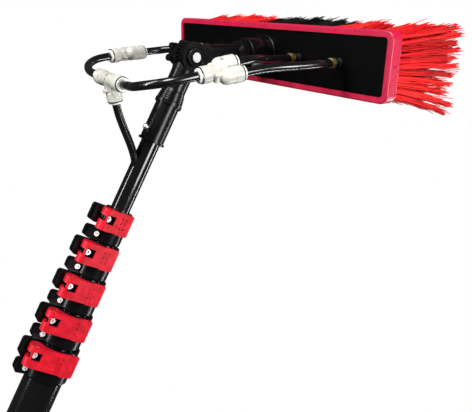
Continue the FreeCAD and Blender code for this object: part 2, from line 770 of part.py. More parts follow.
def bristle_field(x0, x1, tip_x0, tip_x1):
    """A block of bristles as one plain solid that widens from its roots to its tips."""
    field = doc.addObject("Part::Wedge", "bristles")
    bind(field, Xmin=x0, Xmax=x1, X2min=tip_x0, X2max=tip_x1, Ymin="0", Ymax=f"bristle_tip - {BRISTLE_ROOT}",
         Zmin="-(block_height / 2 - 5)", Zmax="block_height / 2 - 5", Z2min="-42", Z2max="42")
    return at(field, z=BRISTLE_ROOT, rotation=FreeCAD.Rotation(Vector(1, 0, 0), 90))


def red_bristles():
    root, tip = "block_length / 2 - 6", "195"
    return group(bristle_field("black_half + 0.3", root, "black_half + 0.3", tip),
                 bristle_field(f"-({root})", "-(black_half + 0.3)", f"-{tip}", "-(black_half + 0.3)"))


def black_bristles():
    return group(bristle_field("-black_half", "black_half", "-black_half", "black_half"))


def nozzle(place):
    """A barb with a six-sided head; its stem ends in a jet, flush with the bristles' roots."""
    stem = cylinder("3.2", "88.2", f"{BRISTLE_ROOT} - 0.5", x=place)
    head = doc.addObject("Part::Prism", "head")
    head.Polygon = 6
    bind(head, Circumradius="5.2", Height="4.4")
    at(head, x=place, z="88.2")
    flange = cylinder("4.6", f"{PANEL_FACE} - 1.6", PANEL_FACE, x=place)
    return cut(fuse(stem, head, flange), cylinder("1.0", "80", "130", x=place))


node(on_head(brush_socket()), "brush_socket")
on_block(brush_block(), "brush_block")
on_block(back_panel(), "back_panel")
node(on_head(red_bristles()), "red_bristles")
node(on_head(black_bristles()), "black_bristles")
node(on_head(group(*[nozzle(place) for place in NOZZLE_PLACES])), "nozzles")


# ---------------------------------------------------------------- push-fit fittings
# Each port has a stepped bore for the hose and a white release collet.

PORT_LENGTH = 8.6
FACE_TO_COLLET = 2.8
HOSE_DEPTH = 10.0
COLLET_OUTLINE = [("hose_radius + 0.08", "-5"), ("5.6", "-5"), ("5.6", "1.2"), ("6.5", "1.2"), ("6.5", "2.8"),
                  ("hose_radius + 0.08", "2.8")]


class Port:
    """A port's mouth: its place on the fitting's body and the direction that the hose leaves in."""

    def __init__(self, place, direction):
        self.place = Vector(*place)
        self.direction = Vector(*direction).normalize()

    def frame(self):
        return FreeCAD.Placement(self.place, FreeCAD.Rotation(Vector(0, 0, 1), self.direction))

    def moved(self, placement):
        return Port(placement.multVec(self.place), placement.Rotation.multVec(self.direction))

    def inside(self):
        """Where the hose ends, inside the port."""
        return self.place - self.direction * HOSE_DEPTH

    def outside(self, distance):
        return self.place + self.direction * distance


def placed_copy(thing, placement):
    thing.Placement = placement
    return thing


def port_solids(port, arm_length):
    head = placed_copy(cylinder("port_radius", "0", f"{PORT_LENGTH}"), port.frame().multiply(
        FreeCAD.Placement(Vector(0, 0, -PORT_LENGTH), FreeCAD.Rotation())))
    arm = placed_copy(cylinder("arm_radius", "0", f"{arm_length}"), port.frame().multiply(
        FreeCAD.Placement(Vector(0, 0, -arm_length), FreeCAD.Rotation())))
    for thing in (head, arm):
        for axis in "xyz":
            thing.setExpression(f"Placement.Base.{axis}", None)
    return [rounded(head, 0.7, lambda e: isinstance(e.Curve, Part.Circle)), arm]


def port_cutters(port):
    cutters = []
    for radius, depth in (("5.7", 6.2), ("hose_radius + 0.08", 11.0)):
        cutter = cylinder(radius, "0", f"{depth + 5}")
        for axis in "xyz":
            cutter.setExpression(f"Placement.Base.{axis}", None)
        cutters.append(placed_copy(cutter, port.frame().multiply(
            FreeCAD.Placement(Vector(0, 0, -depth), FreeCAD.Rotation()))))
    return cutters


def fitting(ports, arm_length, extra):
    solids = [solid for port in ports for solid in port_solids(port, arm_length)]
    return cut(fuse(*solids, *extra), *[cutter for port in ports for cutter in port_cutters(port)])


def collets(ports):
    rings = []
    for port in ports:
        collet = turned(COLLET_OUTLINE)
        collet.Placement = port.frame()
        rings.append(collet)
    return rings


def head_placement(place=(0, 0, 0), turn=FreeCAD.Rotation()):
    whole = FreeCAD.Placement(Vector(0, 0, value("pivot_height")), HEAD_TURN)
    return whole.multiply(FreeCAD.Placement(Vector(*place), turn))


def rotation(x, y, z):
    """Turns about Z, then X, then Y, in degrees."""
    turns = [FreeCAD.Rotation(Vector(*axis), angle)
             for axis, angle in (((0, 1, 0), y), ((1, 0, 0), x), ((0, 0, 1), z))]
    return turns[0].multiply(turns[1]).multiply(turns[2])


# the tee, its run along X and its stem towards the pole
TEE_PORTS = [Port((22.5, 0, 0), (1, 0, 0)), Port((-22.5, 0, 0), (-1, 0, 0)), Port((0, 19.4, 0), (0, 1, 0))]
TEE_PLACEMENT = head_placement((1.3, 18.5, -89.5), rotation(11, 0, 3))


def tee_body():
    web = box("-8", "8", "-5", "12", "-5.4", "5.4")
    lugs = cylinder("1.8", "-9.6", "9.6", y="8.6")
    return fitting(TEE_PORTS, 21, [rounded(web, 1.5, lambda e: True), lugs])


# the two dividers: inlet away from the brush, outlets side by side; the hoses turn each its own way
Y_PORTS = [Port((0, 0, -18.5), (0, 0, -1)), Port((-7.25, 0, 18.5), (0, 0, 1)),
           Port((7.25, 0, 18.5), (0, 0, 1))]
Y_PLACEMENTS = {
    "near": head_placement((92, 4.3, -29.4), rotation(8, 7, 35)),
    "far": head_placement((-92, 4, -26.6), rotation(3, -10, -7)),
}


def y_body():
    """Each outlet is a barrel with a round inner end; the inlet's arm runs into both."""
    barrels = []
    for x in ("-port_spacing / 2", "port_spacing / 2"):
        ball = doc.addObject("Part::Sphere", "ball")
        bind(ball, Radius="port_radius - 0.3")
        barrels += [at(ball, x, z="3.5"), cylinder("port_radius - 0.3", "3.5", "10.5", x=x)]
    shoulder = box("-9", "9", "-5", "5", "-9", "8")
    return fitting(Y_PORTS, 16, [rounded(shoulder, 2.5, lambda e: True), *barrels])


def placed_node(thing, placement, label):
    thing.Placement = placement
    return node(thing, label)


placed_node(tee_body(), TEE_PLACEMENT, "tee_body")
placed_node(group(*collets(TEE_PORTS)), TEE_PLACEMENT, "tee_collets")
y_collets = []
for word, placement in Y_PLACEMENTS.items():
    placed_node(y_body(), placement, f"y_body_{word}")
    y_collets.append(placed_copy(group(*collets(Y_PORTS)), placement))
node(group(*y_collets), "y_collets")


# ---------------------------------------------------------------- hoses
# Each hose is one solid along straight runs joined by tangent arcs.

ARC_SHARE = 0.45


def hose(label, route):
    """A hose through the points of its runs, with an arc at each inner point."""
    radius = value("hose_radius")
    edges, radii, start = [], [], route[0]
    for before, corner, after in zip(route, route[1:], route[2:]):
        to_corner, from_corner = (corner - before).normalize(), (after - corner).normalize()
        half_turn = to_corner.getAngle(from_corner) / 2
        tangent = ARC_SHARE * min((corner - before).Length, (after - corner).Length)
        arc_radius = tangent / math.tan(half_turn)
        radii.append(arc_radius)
        arc_start, arc_end = corner - to_corner * tangent, corner + from_corner * tangent
        inward = (from_corner - to_corner).normalize()
        middle = corner + inward * (arc_radius / math.cos(half_turn) - arc_radius)
        edges.append(Part.LineSegment(start, arc_start).toShape())
        edges.append(Part.Arc(arc_start, middle, arc_end).toShape())
        start = arc_end
    edges.append(Part.LineSegment(start, route[-1]).toShape())
    path = Part.Wire(edges)
    section = Part.Wire(Part.Circle(route[0], route[1] - route[0], radius).toShape())
    solid = path.makePipeShell([section], True, False)
    expected = math.pi * radius ** 2 * path.Length
    if abs(solid.Volume - expected) > 0.01 * expected:
        raise ValueError(f"{label} has volume {solid.Volume:.0f}, not its section times length, {expected:.0f}")
    print(f"{label}: {path.Length:.0f} mm long, radii {', '.join(f'{r:.0f}' for r in radii)} mm")
    thing = doc.addObject(BREP, label)
    thing.Shape = solid
    return node(thing, label)


def on_head_at(*place):
    return head_placement().multVec(Vector(*place))


def below_pivot(y, depth):
    return Vector(0, y, value("pivot_height") - depth)


tee_ports = [port.moved(TEE_PLACEMENT) for port in TEE_PORTS]
FEED_END = Vector(0, 0, 64)

hose("feed_hose", [
    tee_ports[2].inside(),
    tee_ports[2].outside(10),
    below_pivot(-37, 94),
    below_pivot(-17.8, 109.6),
    below_pivot(-6, 122.6),
    below_pivot(0, 137.5),
    FEED_END,
])

# inner points of the loop hose, the inner lead and the outer lead, measured about the tilt axis
BENDS = {
    "near": ([(60.5, 16.5, -91), (80.5, 12.5, -80.5)], [(78.2, -3.2, 28), (63.4, -0.8, 50)],
             [(104, 2, 28), (109.4, 1.4, 51)]),
    "far": ([(-57.5, 14.8, -86.6), (-77, 10.6, -77)], [(-80, -1.4, 28), (-64.5, -1, 50)],
            [(-103, 2, 29), (-109, 0.6, 51)]),
}


def lead(outlet, bends, x, drop):
    """A hose from a divider's outlet to the nozzle at x."""
    return [outlet.inside(), outlet.outside(15), *[on_head_at(*place) for place in bends],
            on_head_at(x, drop, 73), on_head_at(x, 0, 87.9)]


for word, side in (("near", 1), ("far", -1)):
    inlet, *outlets = (port.moved(Y_PLACEMENTS[word]) for port in Y_PORTS)
    inner_outlet, outer_outlet = sorted(outlets, key=lambda port: abs(port.place.x))
    tee_port = tee_ports[0 if side > 0 else 1]
    loop_bends, inner_bends, outer_bends = BENDS[word]
    hose(f"loop_hose_{word}", [tee_port.inside(), tee_port.outside(14),
                               *[on_head_at(*place) for place in loop_bends],
                               inlet.outside(15), inlet.inside()])
    hose(f"inner_lead_{word}", lead(inner_outlet, inner_bends, side * value("nozzle_inner"), 0))
    hose(f"outer_lead_{word}", lead(outer_outlet, outer_bends, side * value("nozzle_outer"), 0.4))


def hose_tail():
    """A straight connector on the feed hose's lower end, for the supply hose."""
    return turned([("2.5", "36"), ("4.6", "36"), ("4.6", "48"), ("7.4", "48.6"), ("7.4", "60"), ("6.4", "61"),
                   ("6.4", "76"), ("hose_radius + 0.05", "76"), ("hose_radius + 0.05", "64"), ("2.5", "64")])


node(hose_tail(), "hose_tail")

# ---------------------------------------------------------------- check and write

doc.recompute()
for thing in doc.Objects:
    if any(word in state for state in thing.State for word in ("Invalid", "Error")):
        raise ValueError(f"{thing.Name} ({thing.Label}) is {thing.State}")
for thing in NODES:
    if thing.Shape.isNull() or not thing.Shape.isValid() or thing.Shape.Volume <= 0:
        raise ValueError(f"{thing.Label} has a null, empty or invalid shape")

os.makedirs("parts", exist_ok=True)
for thing in NODES:
    thing.Shape.exportStep(f"parts/{thing.Label}.step")
print(f"{len(NODES)} nodes written")
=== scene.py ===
import json
import math
import random

import bmesh
import bpy
from mathutils import Matrix, Vector


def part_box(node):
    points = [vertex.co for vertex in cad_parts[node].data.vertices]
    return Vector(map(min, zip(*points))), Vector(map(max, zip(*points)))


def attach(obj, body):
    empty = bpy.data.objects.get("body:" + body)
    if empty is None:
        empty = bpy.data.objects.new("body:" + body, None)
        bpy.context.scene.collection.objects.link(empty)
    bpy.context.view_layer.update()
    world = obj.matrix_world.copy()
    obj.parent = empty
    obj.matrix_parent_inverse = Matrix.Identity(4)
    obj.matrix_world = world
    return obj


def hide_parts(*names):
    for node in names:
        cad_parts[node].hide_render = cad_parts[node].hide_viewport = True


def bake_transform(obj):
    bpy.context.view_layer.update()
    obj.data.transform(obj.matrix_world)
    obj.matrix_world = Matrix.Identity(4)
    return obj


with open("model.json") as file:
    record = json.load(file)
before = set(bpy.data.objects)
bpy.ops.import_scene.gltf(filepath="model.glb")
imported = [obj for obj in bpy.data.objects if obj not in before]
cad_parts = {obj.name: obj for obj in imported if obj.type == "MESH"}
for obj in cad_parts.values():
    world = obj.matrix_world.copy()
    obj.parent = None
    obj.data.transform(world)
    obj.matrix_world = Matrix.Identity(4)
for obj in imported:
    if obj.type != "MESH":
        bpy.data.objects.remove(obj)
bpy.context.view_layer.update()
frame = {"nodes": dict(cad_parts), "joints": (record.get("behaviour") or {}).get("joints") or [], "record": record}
nodes = frame["nodes"]

# ---------------------------------------------------------------- frames and sizes
# HEAD turns a point given about the tilt axis (x along the axis, y down and back, z towards
# the bristles) into the row frame.

PIVOT = Vector(next(j for j in frame["joints"] if j["name"] == "head_tilt")["pos_m"])
HEAD = Matrix.Translation(PIVOT) @ Matrix.Rotation(math.radians(-60), 4, "X")
MM = 0.001
HOSE_RADIUS = 0.004
PANEL_OUTER_FACE = 92.7 * MM        # how far from the tilt axis the nozzles' blackened stems start
CLAMP_HEADINGS = {clamp: math.radians(0 if clamp == 1 else -8) for clamp in range(1, 6)}


def head(x, y, z):
    """A point on the head, from millimetres about the tilt axis."""
    return HEAD @ (Vector((x, y, z)) * MM)


def below(y, depth):
    """A point in the pole's plane of symmetry, from millimetres below the tilt axis."""
    return PIVOT + Vector((0, y, -depth)) * MM


# ---------------------------------------------------------------- camera

RIGHT = Vector((0.6115, 0.6737, 0.4150))
DOWN = Vector((0.2850, 0.3017, -0.9098))
FORWARD = Vector((-0.7381, 0.6747, -0.0075))

camera = bpy.data.objects.new("camera", bpy.data.cameras.new("camera"))
bpy.context.scene.collection.objects.link(camera)
camera.data.lens = 41.95
camera.data.sensor_width = 36
camera.matrix_world = Matrix.Translation(Vector((0.4902, -0.3030, 1.5382))) @ Matrix(
    (RIGHT, -DOWN, -FORWARD)).transposed().to_4x4()
camera.data.clip_start = 0.01
camera.data.clip_end = 30
bpy.context.scene.camera = camera
bpy.context.scene.view_settings.view_transform = "Standard"


# ---------------------------------------------------------------- material tools

class Material:
    """A procedural material: one principled shader, with helpers that build the textures round it."""

    def __init__(self, name, color, roughness, metallic=0.0, **sockets):
        self.material = bpy.data.materials.new(name)
        self.material.use_nodes = True
        self.tree = self.material.node_tree
        self.shader = self.tree.nodes["Principled BSDF"]
        self.shader.inputs["Base Color"].default_value = (*color, 1)
        self.shader.inputs["Roughness"].default_value = roughness
        self.shader.inputs["Metallic"].default_value = metallic
        for socket, number in sockets.items():
            self.shader.inputs[socket.replace("_", " ")].default_value = number
        self.normal = None

    def node(self, kind, inputs=None, **settings):
        made = self.tree.nodes.new("ShaderNode" + kind)
        for key, setting in settings.items():
            setattr(made, key, setting)
        for key, source in (inputs or {}).items():
            if isinstance(source, bpy.types.NodeSocket):
                self.tree.links.new(source, made.inputs[key])
            else:
                made.inputs[key].default_value = source
        return made

    def place(self, stretch=(1, 1, 1)):
        """Object coordinates in metres, stretched."""
        coordinates = self.node("TexCoord").outputs["Object"]
        return self.node("Mapping", {"Vector": coordinates, "Scale": stretch}).outputs["Vector"]

    def noise(self, scale, detail=2.0, stretch=(1, 1, 1), roughness=0.5):
        made = self.node("TexNoise", {"Vector": self.place(stretch), "Scale": scale, "Detail": detail,
                                      "Roughness": roughness})
        return made.outputs["Fac"]

    def ramp(self, source, low, high, dark, light):
        """Maps source from low..high to dark..light."""
        return self.node("MapRange", {"Value": source, "From Min": low, "From Max": high, "To Min": dark,
                                      "To Max": light}).outputs["Result"]

    def mix(self, source, dark, light, low=0.3, high=0.7):
        made = self.node("MixRGB", {"Fac": self.ramp(source, low, high, 0, 1), "Color1": (*dark, 1),
                                    "Color2": (*light, 1)})
        return made.outputs["Color"]

    def color(self, socket):
        self.tree.links.new(socket, self.shader.inputs["Base Color"])
        return self

    def roughness(self, socket):
        self.tree.links.new(socket, self.shader.inputs["Roughness"])
        return self

    def bump(self, height, distance, strength=1.0):
        inputs = {"Height": height, "Distance": distance, "Strength": strength}
        if self.normal is not None:
            inputs["Normal"] = self.normal
        self.normal = self.node("Bump", inputs).outputs["Normal"]
        self.tree.links.new(self.normal, self.shader.inputs["Normal"])
        return self

    def math(self, operation, first, second=0.0):
        inputs = {0: first, 1: second}
        return self.node("Math", inputs, operation=operation).outputs[0]


def moulded(name, color, roughness, grain=1400, depth=0.00003, spread=0.08, shade=0.25, **sockets):
    """Moulded plastic: fine grain, slow drifts of gloss and shade."""
    made = Material(name, color, roughness, **sockets)
    slow = made.noise(60, 3)
    fine = made.noise(grain, 2)
    dark = [c * (1 - shade) for c in color]
    light = [min(1, c * (1 + shade)) for c in color]
    made.color(made.mix(slow, dark, light))
    made.roughness(made.ramp(made.noise(160, 4), 0.3, 0.7, roughness - spread, roughness + spread))
    return made.bump(fine, depth)


def metal(name, color, roughness, stretch=(1, 1, 30), depth=0.00001):
    """Turned or drawn metal with fine lines."""
    made = Material(name, color, roughness, metallic=1.0)
    lines = made.noise(700, 2, stretch)
    made.color(made.mix(made.noise(250, 3), [c * 0.8 for c in color], color))
    made.roughness(made.ramp(lines, 0.3, 0.7, roughness * 0.7, roughness * 1.4))
    return made.bump(lines, depth)


# ---------------------------------------------------------------- materials

WEAVE_PITCH = 0.0032


def pole_material(name, radius):
    """A black coated tube over a fine woven layer, with faint scuffs along it."""
    made = Material(name, (0.010, 0.010, 0.012), 0.20, Coat_Weight=0.2, Coat_Roughness=0.05,
                    Specular_IOR_Level=0.35)
    parts = made.node("SeparateXYZ", {"Vector": made.node("TexCoord").outputs["Object"]})
    around = made.math("MULTIPLY", made.math("ARCTAN2", parts.outputs["Y"], parts.outputs["X"]), radius)
    weave = []
    for sign in ("ADD", "SUBTRACT"):
        diagonal = made.math(sign, parts.outputs["Z"], around)
        weave.append(made.math("SINE", made.math("MULTIPLY", diagonal, 2 * math.pi / WEAVE_PITCH)))
    cloth = made.math("MULTIPLY", *weave)
    scuff = made.noise(420, 3, (1, 1, 0.06))
    made.color(made.mix(cloth, (0.002, 0.002, 0.0025), (0.006, 0.006, 0.0065), -0.7, 0.7))
    made.roughness(made.ramp(scuff, 0.35, 0.75, 0.13, 0.19))
    made.bump(cloth, 0.000001, 0.5)
    return made.bump(scuff, 0.0000005)


black_plastic = moulded("black_plastic", (0.0025, 0.0025, 0.003), 0.26, depth=0.000004,
                        spread=0.03, Specular_IOR_Level=0.20)
red_block = moulded("red_block", (0.50, 0.009, 0.048), 0.34, grain=900, shade=0.08)
panel = moulded("panel", (0.0008, 0.0010, 0.0011), 0.48, grain=2200, depth=0.00002,
                Specular_IOR_Level=0.05)
fitting = moulded("fitting", (0.52, 0.515, 0.46), 0.36, grain=420, depth=0.00012, shade=0.18,
                  Subsurface_Weight=0.08, Subsurface_Scale=0.003)
collet = moulded("collet", (0.80, 0.80, 0.77), 0.30, grain=1800, shade=0.03)
clip = moulded("clip", (0.004, 0.004, 0.004), 0.3)
steel = metal("steel", (0.92, 0.92, 0.90), 0.48)
bright_steel = metal("bright_steel", (0.95, 0.95, 0.93), 0.42)
brass = metal("brass", (0.95, 0.66, 0.25), 0.38)
white_cap = moulded("white_cap", (0.75, 0.75, 0.74), 0.32, shade=0.03)


def hose_material():
    """Smooth black tubing, a little smeared."""
    made = Material("hose", (0.010, 0.010, 0.011), 0.22, Coat_Weight=0.3, Coat_Roughness=0.08)
    smear = made.noise(180, 4)
    made.color(made.mix(smear, (0.002, 0.002, 0.0025), (0.006, 0.006, 0.0065)))
    made.roughness(made.ramp(smear, 0.3, 0.7, 0.18, 0.26))
    return made.bump(made.noise(300, 2), 0.000001)


hose_black = hose_material()


def offset_along(made, axis, origin):
    """How far a point lies from origin along an axis, in metres."""
    coordinates = made.node("TexCoord").outputs["Object"]
    from_origin = made.node("VectorMath", {0: coordinates, 1: tuple(origin)}, operation="SUBTRACT").outputs[0]
    return made.node("VectorMath", {0: from_origin, 1: tuple(axis)}, operation="DOT_PRODUCT").outputs["Value"]


def between(made, distance, low, high):
    """1 where low < distance < high, else 0."""
    above = made.math("GREATER_THAN", distance, low)
    return made.math("MULTIPLY", above, made.math("LESS_THAN", distance, high))


def nozzle_material():
    """Brass barbs; the stems through the block are blackened."""
    made = metal("nozzle", (0.92, 0.66, 0.27), 0.36)
    stem = made.math("GREATER_THAN", offset_along(made, HEAD.col[2].xyz, PIVOT), PANEL_OUTER_FACE)
    drift = made.noise(250, 3)
    brass_color = made.mix(drift, (0.84, 0.57, 0.20), (1.0, 0.76, 0.34))
    both = made.node("MixRGB", {"Fac": stem, "Color1": brass_color, "Color2": (0.010, 0.010, 0.011, 1)})
    made.tree.links.new(made.math("SUBTRACT", 1.0, stem), made.shader.inputs["Metallic"])
    return made.color(both.outputs["Color"])


def lever_material(clamp):
    """Red moulded plastic; the floor of the opening in front of the tension bolt is painted near-black: partly the
    black clamp body behind it, partly painted shade inside the opening.
    """
    made = Material(f"lever_{clamp}", (0.50, 0.005, 0.016), 0.40, Specular_IOR_Level=0.25)
    hinge = Vector(next(j for j in frame["joints"] if j["name"] == f"lever_{clamp}_hinge")["pos_m"])
    heading = CLAMP_HEADINGS[clamp]
    out = (math.cos(heading), math.sin(heading), 0)
    toward = (-math.sin(heading), math.cos(heading), 0)
    # the window's reach either way along the lever, its half height, and how far out its floor lies
    low, high, half_height, floor = -0.0031, 0.0061, 0.0046, 0.0056
    shaded_window = made.math("MULTIPLY", between(made, offset_along(made, toward, hinge), low, high),
                       between(made, offset_along(made, (0, 0, 1), hinge), -half_height, half_height))
    shaded_window = made.math("MULTIPLY", shaded_window, made.math("LESS_THAN", offset_along(made, out, hinge), floor))
    red = made.mix(made.noise(140, 4), (0.40, 0.003, 0.011), (0.60, 0.006, 0.021), 0.35, 0.65)
    # painted shade: the opening in front of the tension bolt is painted near-black, standing for the black clamp
    # body behind it and the shade inside
    both = made.node("MixRGB", {"Fac": shaded_window, "Color1": red, "Color2": (0.008, 0.008, 0.009, 1)})
    made.color(both.outputs["Color"])
    made.roughness(made.ramp(made.noise(160, 4), 0.3, 0.7, 0.34, 0.50))
    return made.bump(made.noise(1100, 2), 0.00003)


FINISH = {
    "black_plastic": black_plastic, "steel": steel, "red_block": red_block,
    "panel": panel, "brass": brass, "fitting": fitting, "collet": collet, "hose": hose_black,
    "white_cap": white_cap,
}
slot_of = {part["node"]: part["material_slot"] for part in frame["record"]["subparts"]}

for name, thing in nodes.items():
    if name.startswith("pole_section"):
        radius = (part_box(name)[1].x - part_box(name)[0].x) / 2
        finish = pole_material(name.replace("pole_section", "tube"), radius)
    elif name.endswith("_lever"):
        finish = lever_material(int(name.split("_")[1]))
    elif name == "nozzles":
        finish = nozzle_material()
    elif name == "snap_button":
        finish = bright_steel
    else:
        finish = FINISH.get(slot_of[name])
    if finish is not None:
        thing.data.materials.clear()
        thing.data.materials.append(finish.material)


def link(name, data, finish, body):
    """Puts a piece in the scene with its material, riding on a body if one is named."""
    made = bpy.data.objects.new(name, data)
    bpy.context.scene.collection.objects.link(made)
    made.data.materials.append(finish.material)
    if body:
        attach(made, body)
    return made


# ---------------------------------------------------------------- fittings' port frames

class Port:
    """Where a hose enters a fitting: the mouth's middle and the way out."""

    def __init__(self, matrix, place, direction):
        self.place = matrix @ (Vector(place) * MM)
        self.direction = (matrix.to_3x3() @ Vector(direction)).normalized()

    def inside(self):
        return self.place - self.direction * 0.010

    def outside(self, millimetres):
        return self.place + self.direction * millimetres * MM


def turn(degrees, axis):
    return Matrix.Rotation(math.radians(degrees), 4, axis)


def placed(x, y, z, about_x, about_y, about_z):
    """A fitting's frame on the head: turned about Z, then X, then Y."""
    return HEAD @ Matrix.Translation(Vector((x, y, z)) * MM) @ turn(about_y, "Y") @ turn(about_x, "X") \
        @ turn(about_z, "Z")


TEE_ARM, TEE_STEM = 22.5, 19.4
DIVIDER_REACH, OUTLET_OFFSET = 18.5, 7.25

TEE = placed(1.3, 18.5, -89.5, 11, 0, 3)
tee_ports = [Port(TEE, (TEE_ARM, 0, 0), (1, 0, 0)), Port(TEE, (-TEE_ARM, 0, 0), (-1, 0, 0)),
             Port(TEE, (0, TEE_STEM, 0), (0, 1, 0))]
DIVIDERS = {"near": placed(92, 4.3, -29.4, 8, 7, 35), "far": placed(-92, 4, -26.6, 3, -10, -7)}


def divider_ports(word):
    """Inlet, then the outlet nearer the middle, then the outer one."""
    inlet = Port(DIVIDERS[word], (0, 0, -DIVIDER_REACH), (0, 0, -1))
    outlets = [Port(DIVIDERS[word], (offset, 0, DIVIDER_REACH), (0, 0, 1))
               for offset in (-OUTLET_OFFSET, OUTLET_OFFSET)]
    return [inlet, *sorted(outlets, key=lambda port: abs(port.place.x))]


# ---------------------------------------------------------------- hoses

def hose_curve(name, points, radius):
    """One open smooth curve through the space between its control points."""
    curve = bpy.data.curves.new(name, "CURVE")
    curve.dimensions = "3D"
    spline = curve.splines.new("NURBS")
    spline.points.add(len(points) - 1)
    for control, point in zip(spline.points, points):
        control.co = (*point, 1)
    spline.order_u = 3
    spline.use_endpoint_u = True
    spline.resolution_u = 16
    curve.bevel_depth = radius
    curve.bevel_resolution = 8
    curve.use_fill_caps = True
    return curve


def path_of(points):
    """The points of the smooth line that a hose follows."""
    line = bpy.data.objects.new("line", hose_curve("line", points, 0))
    bpy.context.scene.collection.objects.link(line)
    mesh = bpy.data.meshes.new_from_object(line)
    places = [vertex.co.copy() for vertex in mesh.vertices]
    bpy.data.objects.remove(line)
    return places


def length_of(places):
    return sum((b - a).length for a, b in zip(places, places[1:]))


def hose(name, points, body):
    """A hose that rides on one body."""
    made = link(name, hose_curve(name, points, HOSE_RADIUS), hose_black, body)
    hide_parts(name.replace("_tube", ""))
    length_of(path_of(points))
    return made


def bending_hose(name, points):
    """A hose between two bodies, baked in place as one fixed mesh that rides on neither."""
    line = path_of(points)
    tube = bpy.data.objects.new("tube", hose_curve("tube", points, HOSE_RADIUS))
    bpy.context.scene.collection.objects.link(tube)
    mesh = bpy.data.meshes.new_from_object(tube)
    bpy.data.objects.remove(tube)
    mesh.name = name
    for polygon in mesh.polygons:
        polygon.use_smooth = True
    made = link(name, mesh, hose_black, None)
    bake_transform(made)
    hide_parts(name.replace("_tube", ""))
    return made


tail_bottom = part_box("feed_hose")[0].z
hose("feed_hose_tube", [
    tee_ports[2].inside(),
    tee_ports[2].outside(10),
    below(-37, 94),
    below(-17.8, 109.6),
    below(-6, 122.6),
    below(0, 137.5),
    below(0, 170),
    Vector((0, 0, tail_bottom)),
], "section_1")

# the loop hose's, the inner lead's and the outer lead's bends, in millimetres on the head
BENDS = {
    "near": ([(60.5, 16.5, -91), (80.5, 12.5, -80.5)], [(78.2, -3.2, 28), (63.4, -0.8, 50)],
             [(104, 2, 28), (109.4, 1.4, 51)]),
    "far": ([(-57.5, 14.8, -86.6), (-77, 10.6, -77)], [(-80, -1.4, 28), (-64.5, -1, 50)],
            [(-103, 2, 29), (-109, 0.6, 51)]),
}


INNER_NOZZLE, OUTER_NOZZLE = 55.6, 113


def lead(outlet, bends, x, drop):
    """The control points from a divider's outlet to the nozzle at x."""
    return [outlet.inside(), outlet.outside(15), *[head(*place) for place in bends],
            head(x, drop, 73), head(x, 0, 87.9)]


for word, side in (("near", 1), ("far", -1)):
    inlet, inner, outer = divider_ports(word)
    loop_bends, inner_bends, outer_bends = BENDS[word]
    tee_port = tee_ports[0 if side > 0 else 1]
    loop = [tee_port.inside(), tee_port.outside(14), *[head(*place) for place in loop_bends],
            inlet.outside(15), inlet.inside()]
    bending_hose(f"loop_hose_{word}_tube", loop)
    hose(f"inner_lead_{word}_tube", lead(inner, inner_bends, side * INNER_NOZZLE, 0), "head")
    hose(f"outer_lead_{word}_tube", lead(outer, outer_bends, side * OUTER_NOZZLE, 0.4), "head")


# ---------------------------------------------------------------- bristles

BLOCK_FACE = 114.0          # millimetres from the tilt axis to the bristles' roots
TIP = 190.0                 # millimetres from the tilt axis to the farthest tips
BLOCK_END = 175             # half the block's length
TUFT_RADIUS = 1.9
TUFT_PITCH_X, TUFT_PITCH_Y, TUFT_ROWS = 5.0, 5.2, 11


def strand(rng, root, tip, thickness, vertices, faces):
    """One three-sided strand that bends outwards from its root to its tip."""
    start, steps = len(vertices), 5
    bow = Vector((rng.gauss(0, 1.0), rng.gauss(0, 1.0), 0))
    for k in range(steps + 1):
        share = k / steps
        middle = root.lerp(tip, share)
        for axis in (0, 1):
            leaning = (tip[axis] - root[axis]) * share ** 1.35
            middle[axis] = root[axis] + leaning + bow[axis] * math.sin(math.pi * share)
        width = thickness * (1 - 0.5 * share)
        for corner in range(3):
            angle = 2 * math.pi * corner / 3
            rim = Vector((math.cos(angle), math.sin(angle), 0)) * width
            vertices.append(HEAD @ ((middle + rim) * MM))
    for k in range(steps):
        for corner in range(3):
            a, b = start + 3 * k + corner, start + 3 * k + (corner + 1) % 3
            faces.append((a, b, b + 3, a + 3))
    return 3 * steps


def bristle_mesh(name, clumps, seed, spread, thickness, limit, flare, strands=24):
    """Tufts of bristles; neighbouring tufts lean together, so the tips gather in ragged clumps."""
    rng = random.Random(seed)
    vertices, faces, shades = [], [], []
    leans = {}
    for tuft_x, tuft_y in clumps:
        key = (round(tuft_x / 13), round(tuft_y / 11))
        if key not in leans:
            leans[key] = (rng.gauss(0, 2.6), rng.gauss(0, 2.2), rng.gauss(0, 2.2), rng.random())
        lean = leans[key]
        away_x = flare * (tuft_x / BLOCK_END) ** 5
        away_y = tuft_y / 28 * (9 if tuft_y < 0 else 12 + 9 * abs(tuft_x / BLOCK_END) ** 3)
        for _ in range(strands):
            angle, reach = rng.uniform(0, 2 * math.pi), TUFT_RADIUS * math.sqrt(rng.random())
            root = Vector((tuft_x + reach * math.cos(angle), tuft_y + reach * math.sin(angle),
                           BLOCK_FACE - 0.5))
            tip = Vector((
                tuft_x + away_x + lean[0] + rng.gauss(0, spread),
                tuft_y + away_y + lean[1] + rng.gauss(0, spread),
                min(TIP, TIP - 2.5 + lean[2] - abs(rng.gauss(0, 2.0)) - 0.02 * abs(tuft_y) ** 1.3),
            ))
            tip.x = min(max(tip.x, -limit), limit)
            shade = 0.65 * lean[3] + 0.35 * rng.random()
            shades += [shade] * strand(rng, root, tip, thickness, vertices, faces)
    mesh = bpy.data.meshes.new(name)
    mesh.from_pydata([tuple(v) for v in vertices], [], faces)
    attribute = mesh.attributes.new("shade", "FLOAT", "FACE")
    attribute.data.foreach_set("value", shades)
    for polygon in mesh.polygons:
        polygon.use_smooth = True
    return mesh


